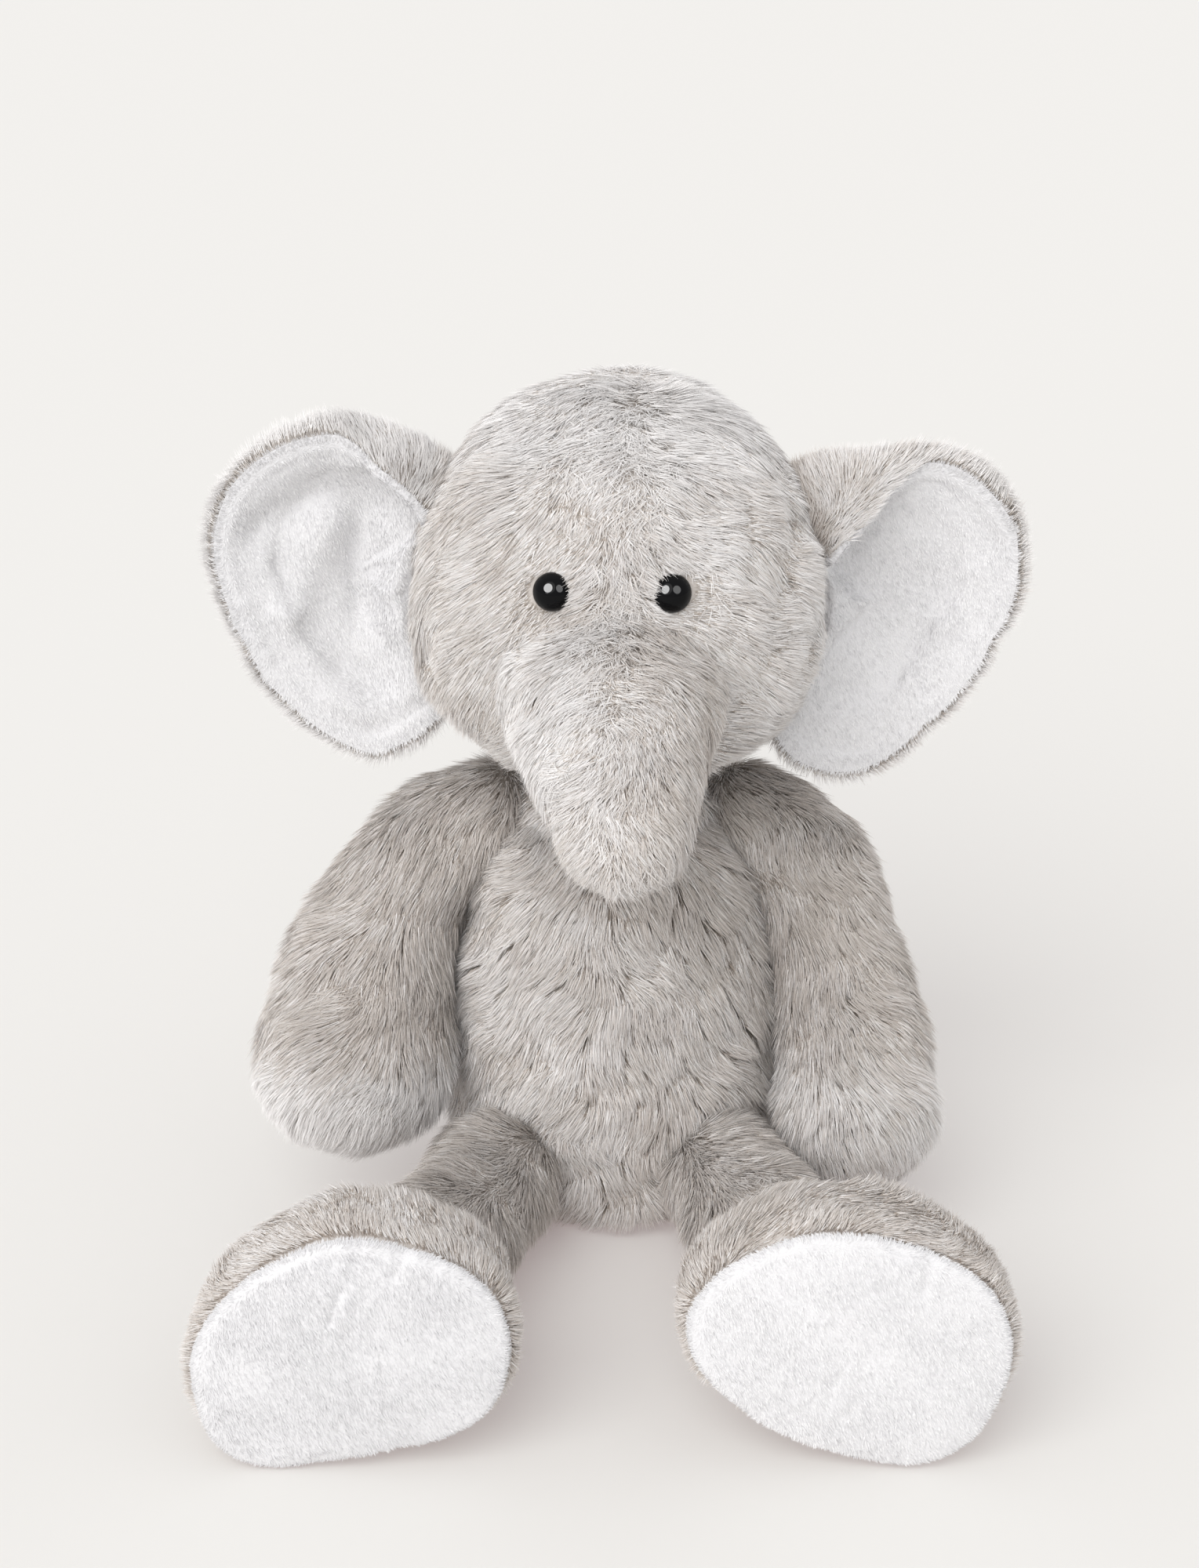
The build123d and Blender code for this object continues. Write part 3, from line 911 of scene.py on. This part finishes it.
def foot_mesh(foot, name, size=1.0):
    """The closed pad, from rings of its outline, scaled about its middle."""
    rings = [(FOOT_HEART + (depth - FOOT_HEART) * size, share * size) for depth, share in FOOT_RINGS]
    points = np.concatenate([foot.rim(share, depth) for depth, share in rings])
    faces = ring_faces(len(FOOT_RINGS), SOLE_RING, foot.sign < 0)
    first = tuple(range(SOLE_RING))
    last = tuple(range(len(points) - SOLE_RING, len(points)))
    faces.append(first if foot.sign > 0 else first[::-1])
    faces.append(last[::-1] if foot.sign > 0 else last)
    return object_from(name, points, faces, BACKING)


def join_meshes(name, objects):
    """One object from several, their meshes side by side."""
    joined = bmesh.new()
    for made in objects:
        joined.from_mesh(made.data)
    mesh = bpy.data.meshes.new(name)
    joined.to_mesh(mesh)
    joined.free()
    for made in objects:
        bpy.data.objects.remove(made, do_unlink=True)
    return new_object(name, mesh)


def inset(stations):
    """The same row of beads, with room left for the skin round it."""
    return [(x, y, z, *(r - FILLING_INSET for r in size)) for x, y, z, *size in stations]


leg_skins, feet = {}, {}
leg_style = dict(
    LONG_PILE, density=5.2, width=0.31, length=9.5, lock=4.5, gather=0.14, stray=0.24, lift=(0.5, 0.14),
    tone=-0.06,
)
for side, sign in SIDES:
    foot = Foot(side, sign)
    feet[side] = foot
    stations = [(x, *size) for x, size in zip(LEG_PLACES[side], LEG_SIZES)]
    tube = stuffed_skin(f"leg_tube_{side}", between(stations, 4), 2.5, 4, PAINTED_LIGHT_BACKING)
    pad = foot_mesh(foot, f"foot_pad_{side}")
    skin = remeshed(join_meshes(f"leg_skin_{side}", [tube, pad]), 2.2, 5, PAINTED_LIGHT_BACKING)
    shape = points_of(skin)
    shape[:, 2] = np.maximum(shape[:, 2], 0.5)
    move_points(skin, shape)
    leg_skins[side] = skin
    inner = between(inset(stations[:-1]), 4)
    leg_filling = stuffed_skin(f"leg_filling_{side}", inner, 2.5, 3, FILLING)
    foot_filling = foot_mesh(foot, f"foot_filling_{side}", FILLING_SIZE)
    remeshed(foot_filling, 2.5, 4, FILLING)
    leg_fur = grow(
        f"leg_fur_{side}", skin, foot.comb, FUR, leg_style, 41 + sign, foot.keep,
        foot.lengths, lambda points: points[:, 1], foot.shading,
    )
    claim([skin, *leg_fur], f"leg_{side}", "fur", f"leg_sleeve_{side}", f"foot_upper_{side}")
    claim([leg_filling], f"leg_{side}", "filling", f"leg_stuffing_{side}")
    claim([foot_filling], f"leg_{side}", "filling", f"foot_stuffing_{side}")

# ---- soles

SOLE_STEPS = 30
SOLE_PUFF = 4.0
SOLE_CAP = 4.5
SOLE_DENT = 0.1
# Puckers in a sole: a line from (x, z) to (x, z), half-width and height
SOLE_PUCKERS = {
    "sole_skin_left": (
        ((-81, 60), (-84, 51), 1.5, -0.8), ((-78, 61), (-81, 51), 2.4, 0.5),
        ((-84, 75), (-83, 68), 1.8, -1.0), ((-76, 76), (-76, 69), 1.8, -0.8),
        ((-62, 73), (-65, 65), 2.0, -0.8), ((-52, 70), (-56, 62), 2.0, -0.6),
        ((-70, 5), (-74, 14), 2.2, -0.5),
    ),
    "sole_skin_right": (((90, 70), (88, 60), 2.2, -0.5),),
}


def ridge(flat, start, end, width):
    """How near points of a plane are to a line: 1 on it, falling off over its half-width."""
    start, end = np.array(start, float), np.array(end, float)
    along = np.clip(((flat - start) @ (end - start)) / ((end - start) @ (end - start)), 0, 1)
    far = np.linalg.norm(flat - start - along[..., None] * (end - start), axis=-1)
    return np.exp(-((far / width) ** 2))


PLUSH_CLOTH = dict(
    quality=6, mass=0.12, tension_stiffness=25, compression_stiffness=25, shear_stiffness=10,
    bending_stiffness=5.0,
)


def filled_out(made, pinned, extra, push, frames):
    """Let a piece of cloth with some extra width be pressed from behind, its pinned points held."""
    group = made.vertex_groups.new(name="sewn")
    group.add([int(i) for i in pinned], 1.0, "REPLACE")
    cloth = made.modifiers.new("Cloth", "CLOTH")
    for name, value in PLUSH_CLOTH.items():
        setattr(cloth.settings, name, value)
    cloth.settings.shrink_min = -extra
    cloth.settings.use_pressure = True
    cloth.settings.uniform_pressure_force = push
    cloth.settings.vertex_group_mass = "sewn"
    cloth.settings.effector_weights.gravity = 0
    cloth.collision_settings.use_collision = False
    cloth.point_cache.frame_start = 1
    cloth.point_cache.frame_end = frames
    scene = bpy.context.scene
    for frame_number in range(1, frames + 1):
        scene.frame_set(frame_number)
    settle(made)
    made.vertex_groups.clear()
    scene.frame_set(1)
    return made


def sole_mesh(foot, name):
    """A disc of cloth over the sole's outline, as rings, crowned in the middle."""
    rings = [foot.rim(0.93, 4.0), foot.rim(0.975, 1.8)]
    for i in range(SOLE_STEPS):
        share = 1 - i / SOLE_STEPS
        crown = SOLE_PUFF * (1 - share**2) ** 0.6
        rings.append(foot.rim(share, 0.2 - crown))
    points = np.concatenate([*rings, [foot.centre + [0, SOLE_LEAN * foot.centre[2] + 0.2 - SOLE_PUFF, 0]]])
    faces = ring_faces(len(rings), SOLE_RING, foot.sign > 0)
    last = len(points) - 1
    faces += fan_faces(last - SOLE_RING, SOLE_RING, last, foot.sign > 0)
    made = face_along(object_from(name, points, faces, PLUSH_BACKING), (0, -1, 0))
    before = points_of(made)
    filled_out(made, range(3 * SOLE_RING), extra=0.004, push=2.0, frames=14)
    shape = points_of(made)
    moved = shape - before
    far = np.linalg.norm(moved, axis=1, keepdims=True)
    shape = before + moved * np.minimum(1, SOLE_CAP / np.maximum(far, 1e-6))
    shape[:, 1] = np.minimum(shape[:, 1], before[:, 1] + SOLE_DENT)
    shape[:, 2] = np.maximum(shape[:, 2], 0.8)
    for start, end, width, height in SOLE_PUCKERS.get(name, ()):
        shape[:, 1] -= ridge(shape[:, [0, 2]], start, end, width) * height
    move_points(made, shape)
    return made


soles = {}
for side, sign in SIDES:
    foot = feet[side]
    soles[side] = sole_mesh(foot, f"sole_skin_{side}")
    # Painted shade: the left sole's plush picks darker shades than the right's.
    sole_plush = grow(
        f"sole_plush_{side}", soles[side], foot.comb_plush, WHITE,
        dict(SHORT_PILE, tone=0.33 - 0.17 * sign), 51 + sign,
        lambda points, normals: foot.depth(points) < 0.5,
    )
    claim([soles[side], *sole_plush], f"leg_{side}", "sole", f"sole_{side}")

# ---- ears

EAR_TURNS = 150
PROFILE_STEPS = 9
EAR_MIDDLE = {"left": (-88, 216), "right": (88, 208)}
# (x, z) of each ear's crest, where the fur side is highest all round, and of its seam
EAR_CREST = {
    "left": (
        (-46, 254), (-53, 260.5), (-66, 269.5), (-86, 274), (-108, 268), (-124, 253),
        (-131, 234.5), (-129.5, 218.5), (-122, 197), (-107.5, 175), (-92.5, 162.5), (-80, 157),
        (-66.5, 163), (-56, 172), (-54, 190), (-59, 215), (-55, 240),
    ),
    "right": (
        (47, 250), (60, 259), (77, 262), (96, 264.5), (108, 262), (120, 253.5), (126.5, 245.5),
        (130, 230), (129.5, 213.5), (123, 198.5), (114, 181.5), (100.5, 167.5), (91, 157.5),
        (79, 151), (68.5, 151), (58, 155), (51, 163), (52, 180), (58, 200), (60, 215), (54, 237),
    ),
}
EAR_SEAM = {
    "left": (
        (-58, 234), (-61, 244.5), (-76, 258.5), (-82, 265), (-88, 268), (-103, 265), (-117, 256),
        (-123, 249), (-127, 240), (-128.5, 230.5), (-127.5, 219.5), (-124.5, 211.5), (-116.5, 192),
        (-103.5, 173), (-90, 161.5), (-79.5, 159), (-68, 164), (-58, 173), (-55, 190), (-60, 215),
    ),
    "right": (
        (63, 226), (67, 231.5), (77, 241.5), (86, 252), (97, 259), (107, 257), (117.5, 249),
        (126, 237), (129, 226), (128.5, 214.5), (122, 200), (113, 183), (99.5, 169), (90, 159.5),
        (79, 153), (69, 153), (59, 157), (53, 164), (53, 181), (59, 200), (61, 215),
    ),
}
# Ridges pressed into each lining: a line from (x, z) to (x, z), half-width and height
EAR_RIDGES = {
    "left": (
        ((-70, 240), (-73, 204), 6.0, 4.5), ((-73, 204), (-65, 182), 5.5, 4.0),
        ((-84, 246), (-83, 206), 5.5, -4.2), ((-92, 236), (-106, 208), 6.5, 3.8),
        ((-116, 236), (-92, 250), 6.5, -4.4), ((-92, 250), (-72, 242), 4.5, -3.6),
        ((-90, 187), (-76, 182), 4.0, -2.8),
        ((-96, 178), (-80, 172), 5.5, 1.6),
    ),
    "right": (
        ((68, 232), (69, 206), 3.0, 3.2), ((69, 206), (58, 176), 3.0, 2.8),
        ((75, 236), (76, 200), 3.5, -1.4), ((86, 250), (104, 256), 4.5, -2.0),
        ((104, 226), (122, 220), 6.0, 1.0), ((92, 186), (112, 196), 7.0, -0.9),
    ),
}
EAR_BACK_DEPTH = 9.0
EAR_CREST_DEPTH = -5.0
FUR_FRINGE = 2.5
SEAM_FORWARD = 1.8
FOLD_FORWARD = 0.55
LEAST_FOLD = 0.6
RELIEF_PASSES = 8
DEEPEST_FOLD = 4.2


def curve_through(rows, steps):
    """Points along a smooth curve through rows of control points, for many curves at once."""
    rows = [rows[0], *rows, rows[-1]]
    out = []
    for i in range(1, len(rows) - 2):
        before, start, end, after = rows[i - 1 : i + 3]
        for k in range(steps + (i == len(rows) - 3)):
            t = k / steps
            square = 2 * before - 5 * start + 4 * end - after
            cube = 3 * start - before - 3 * end + after
            out.append(0.5 * (2 * start + (end - before) * t + square * t * t + cube * t**3))
    return np.array(out)


class Ear(Outlined):
    """One ear: a cupped leaf whose top edge folds forward over its white lining."""

    def __init__(self, side, sign):
        self.side, self.sign = side, sign
        middle = EAR_MIDDLE[side]
        self.centre = np.array([middle[0], 0, middle[1]], float)
        self.turns = np.linspace(-math.pi, math.pi, EAR_TURNS, endpoint=False)
        self.seam_at = bearing_curve(EAR_SEAM[side], middle, sign, 2)
        self.top = bearing_curve(EAR_CREST[side], middle, sign, 2)(self.turns) - FUR_FRINGE
        self.seam = np.minimum(self.seam_at(self.turns), self.top - LEAST_FOLD)
        self.fold = self.top - self.seam
        self.forward = SEAM_FORWARD + FOLD_FORWARD * self.fold

    def grid(self, rows):
        """Points from rows of (distance, depth) for every bearing."""
        rows = [np.stack([np.broadcast_to(a, self.turns.shape) for a in row], axis=-1) for row in rows]
        curve = curve_through(rows, PROFILE_STEPS)
        x = self.centre[0] + self.sign * curve[..., 0] * np.cos(self.turns)
        z = self.centre[2] + curve[..., 0] * np.sin(self.turns)
        return np.stack([x, curve[..., 1], z], axis=-1)

    def past_seam(self, points):
        """How far out points are from the seam, looking at the ear from the front."""
        turns, far = self.bearing(points)
        return far - self.seam_at(turns)

    def near_rim(self, points):
        return step(self.past_seam(points), -4, -1)

    def seam_side(self, points):
        """1 on the front of the ear beside its seam, and 0 elsewhere."""
        return (1 - step(self.past_seam(points), 1.5, 6)) * (points[:, 1] < 0)

    def comb(self, points, normals):
        """Up and out from the seam over the crest, and from the head outwards on the back."""
        out = self.outwards(points)
        behind = step(normals[:, 1], 0.1, 0.6)[:, None]
        band = out * 0.9 + [0.45 * self.sign, 0.12, 0.12]
        return band * (1 - behind) + (out * 0.15 + [0.9 * self.sign, 0, -0.1]) * behind

    def shading(self, points):
        """Painted shade in the corner where the ear is sewn to the head, and painted light beside the
        seam.
        """
        from_head = np.linalg.norm(points - HEAD, axis=1) - HEAD_R
        corner = 0.5 * (1 - step(from_head, 2, 9)) * step(points[:, 2], 215, 235)
        return corner - 0.22 * self.seam_side(points)

    def back(self):
        """The furry side, from the middle of its back over the crest to the seam."""
        top, seam, edge = self.top, self.seam, EAR_CREST_DEPTH
        return self.grid(
            [
                (top * 0.02, EAR_BACK_DEPTH),
                (top * 0.35, EAR_BACK_DEPTH - 0.6),
                (top * 0.7, EAR_BACK_DEPTH - 4),
                (top * 0.92, EAR_BACK_DEPTH - 8.5),
                (top, edge),
                (top - self.fold * 0.35, edge - self.forward * 0.6),
                (seam, edge - self.forward),
            ]
        )

    def lining(self):
        """The white side, from the seam into the cup, with its soft folds."""
        top, seam, edge = self.top, self.seam, EAR_CREST_DEPTH
        roll = step(self.fold, 4, 11)
        lip = np.minimum(seam, top * 0.9) - 12.0 + 7.2 * roll
        front = self.grid(
            [
                (seam + 0.9, edge - self.forward - 0.7),
                (seam - 3.0 + 1.0 * roll, edge - self.forward * (0.85 + 0.15 * roll) - 0.6),
                (seam - 7.0 + 4.2 * roll, edge - self.forward * (0.5 + 0.1 * roll)),
                (lip, edge + 0.8 - 0.6 * roll),
                (np.minimum(top * 0.52, lip - 4), -0.6),
                (np.minimum(top * 0.28, lip * 0.5), 2.0),
                (top * 0.02, 3.0),
            ]
        )
        flat = front[..., [0, 2]]
        rise = np.zeros(front.shape[:2])
        for start, end, width, height in EAR_RIDGES[self.side]:
            rise += height * ridge(flat, start, end, width)
        rise += Waves(61 + self.sign, 30, 1)(front.reshape(-1, 3))[:, 0].reshape(rise.shape) * 0.45
        inside = step(np.arange(len(front)) / len(front), 0.2, 0.45)[:, None]
        front[..., 1] -= np.maximum(rise, -DEEPEST_FOLD) * inside
        cup = front[2 * PROFILE_STEPS :, :, 1]
        for _ in range(RELIEF_PASSES):
            cup[:] = (np.roll(cup, 1, axis=1) + 2 * cup + np.roll(cup, -1, axis=1)) / 4
            cup[PROFILE_STEPS:-1] = (
                cup[PROFILE_STEPS - 1 : -2] + 2 * cup[PROFILE_STEPS:-1] + cup[PROFILE_STEPS + 1 :]
            ) / 4
        return front


def leaf(name, rings, middle_first, material):
    """A single layer of cloth from rings of points, closed in its middle by a small cap."""
    inner = rings[0] if middle_first else rings[-1]
    first = 0 if middle_first else (len(rings) - 1) * EAR_TURNS
    points = np.concatenate([rings.reshape(-1, 3), [inner.mean(axis=0)]])
    faces = ring_faces(len(rings), EAR_TURNS)
    faces += fan_faces(first, EAR_TURNS, len(points) - 1, middle_first)
    return object_from(name, points, faces, material)


def thicken(made, thickness):
    """Give a layer of cloth its thickness, on the side away from its pile."""
    solid = made.modifiers.new("Thickness", "SOLIDIFY")
    solid.thickness = thickness * MM
    solid.offset = -1
    return settle(made)


ear_backs, ear_linings, ear_furs, ear_plush = {}, {}, {}, {}
ear_style = dict(
    LONG_PILE, density=5.3, width=0.31, length=7, lock=4.5, gather=0.14, stray=0.26, lift=(0.68, 0.32)
)
for side, sign in SIDES:
    ear = Ear(side, sign)
    back = leaf(f"ear_back_skin_{side}", ear.back(), True, PAINTED_LIGHT_BACKING)
    lining = leaf(f"ear_lining_cloth_{side}", ear.lining(), False, PLUSH_BACKING)
    ear_backs[side] = face_along(back, (0, 1, 0))
    ear_linings[side] = face_along(lining, (0, -1, 0))
    # Painted shade: the right ear's coat is set darker than the left's.
    ear_furs[side] = grow(
        f"ear_fur_{side}", ear_backs[side], ear.comb, FUR, dict(ear_style, tone=-0.27 + 0.17 * sign),
        81 + sign, outside([HEAD_BEADS[0]], 6), None, lambda points: points[:, 2], ear.shading,
        lambda points: 0.2 * ear.seam_side(points),
    )
    ear_plush[side] = grow(
        f"ear_plush_{side}", ear_linings[side], ear.comb_plush, WHITE,
        dict(SHORT_PILE, tone=0.04), 91 + sign,
    )
    thicken(ear_backs[side], 0.9)
    thicken(ear_linings[side], 0.6)
    claim([ear_backs[side], *ear_furs[side]], f"ear_{side}", "fur", f"ear_back_{side}")
    claim([ear_linings[side], *ear_plush[side]], f"ear_{side}", "ear_lining", f"ear_lining_{side}")

# ---- tail

tail_low, tail_high = box_mm("tail_tube", "tail_tuft")
TAIL_ROOT = joint_mm("tail_wag")
TAIL_END = np.array([0, tail_high[1] - 7, tail_low[2] + 6])
tail_beads = between(
    [
        (*(TAIL_ROOT + [0, -6, 3]), 4.5, 4.5, 4.5),
        (*((TAIL_ROOT + TAIL_END) / 2), 3.4, 3.4, 3.4),
        (*TAIL_END, 3, 3, 3),
    ],
    8,
)
tail_skin = stuffed_skin("tail_skin", tail_beads, 1.2, 3, BACKING)
tail_style = dict(LONG_PILE, length=7, density=4, width=0.36)
tail_fur = grow(
    "tail_fur", tail_skin, comb_one_way(0.0, 0.35, -1.0), FUR, tail_style, 95, None,
    lambda points: 0.6 + 0.7 * step(-points[:, 2], -24, -12),
)
claim([tail_skin, *tail_fur], "tail", "fur", "tail_tube", "tail_tuft")

# ---- the trunk's pieces and CAD finishes

for piece in [trunk_skin, *trunk_fur]:
    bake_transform(piece)
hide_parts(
    "trunk_root_panel_left", "trunk_root_panel_right",
    "trunk_tip_panel_left", "trunk_tip_panel_right",
)

for side, sign in SIDES:
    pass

# Finishes of the CAD nodes that stay, by the first of these words in a node's name
CAD_FINISH = {"washer": WASHER, "eye": EYE, "thread": THREAD, "stuffing": FILLING, "pouch": POUCH}
for node in frame["nodes"]:
    finish = next((finish for word, finish in CAD_FINISH.items() if word in node), None)
    for place in bpy.data.objects[node].material_slots:
        place.material = finish or place.material

# ---- stage, light and camera

# The floor reaches this far to each side, to the front and to the back
WIDE, FRONT, FAR = 9000, -3000, 9000
floor_corners = [(-WIDE, FRONT, 0), (WIDE, FRONT, 0), (WIDE, FAR, 0), (-WIDE, FAR, 0)]
object_from("floor", floor_corners, [(0, 1, 2, 3)], floor_material())


def aimed_light(name, data, place, target):
    """A light at a place, shining at a target."""
    made = new_object(name, data)
    made.location = place
    made.rotation_euler = (Vector(target) - Vector(place)).to_track_quat("-Z", "Y").to_euler()
    return made


def round_soft_box(name, size, energy, place, target):
    data = bpy.data.lights.new(name, "AREA")
    data.shape = "DISK"
    data.size = size
    data.energy = energy
    return aimed_light(name, data, place, target)


HEART = (0, 0, 0.13)
FACE = (0, -0.07, 0.237)
sun = bpy.data.lights.new("key_sun", "SUN")
sun.energy = 1.9
sun.angle = math.radians(60)
sun.color = (1.0, 0.985, 0.97)
aimed_light("key_sun", sun, (-0.55, -1.0, 1.03), HEART)

world = bpy.data.worlds.new("studio")
world.use_nodes = True
set_inputs(world.node_tree.nodes["Background"], {"Color": (0.99, 0.993, 1.0, 1), "Strength": 0.7})
bpy.context.scene.world = world

# Two round soft boxes that show as a bright and a dim spot in each eye. They light the eyes alone.
spot = round_soft_box("catch_light", 1.15, 175, (-0.7, -1.0, 1.0), FACE)
dim_spot = round_soft_box("dim_catch_light", 1.0, 30, (0.72, -1.0, 0.95), FACE)
eyes_only = bpy.data.collections.new("eyes_only")
for side, sign in SIDES:
    eyes_only.objects.link(bpy.data.objects[f"eye_{side}"])
for lamp in (spot, dim_spot):
    lamp.light_linking.receiver_collection = eyes_only

CAMERA_PLACE = (-0.0058, -0.866, 0.520)
CAMERA_PITCH = math.radians(23.4)
CAMERA_LENS = 64.8
camera_data = bpy.data.cameras.new("camera")
camera_data.lens = CAMERA_LENS
camera_data.sensor_width = 36
camera_data.clip_end = 50
camera = new_object("camera", camera_data)
camera.location = CAMERA_PLACE
camera.rotation_euler = (math.pi / 2 - CAMERA_PITCH, 0, 0)
bpy.context.scene.camera = camera
bpy.context.scene.view_settings.view_transform = "Standard"
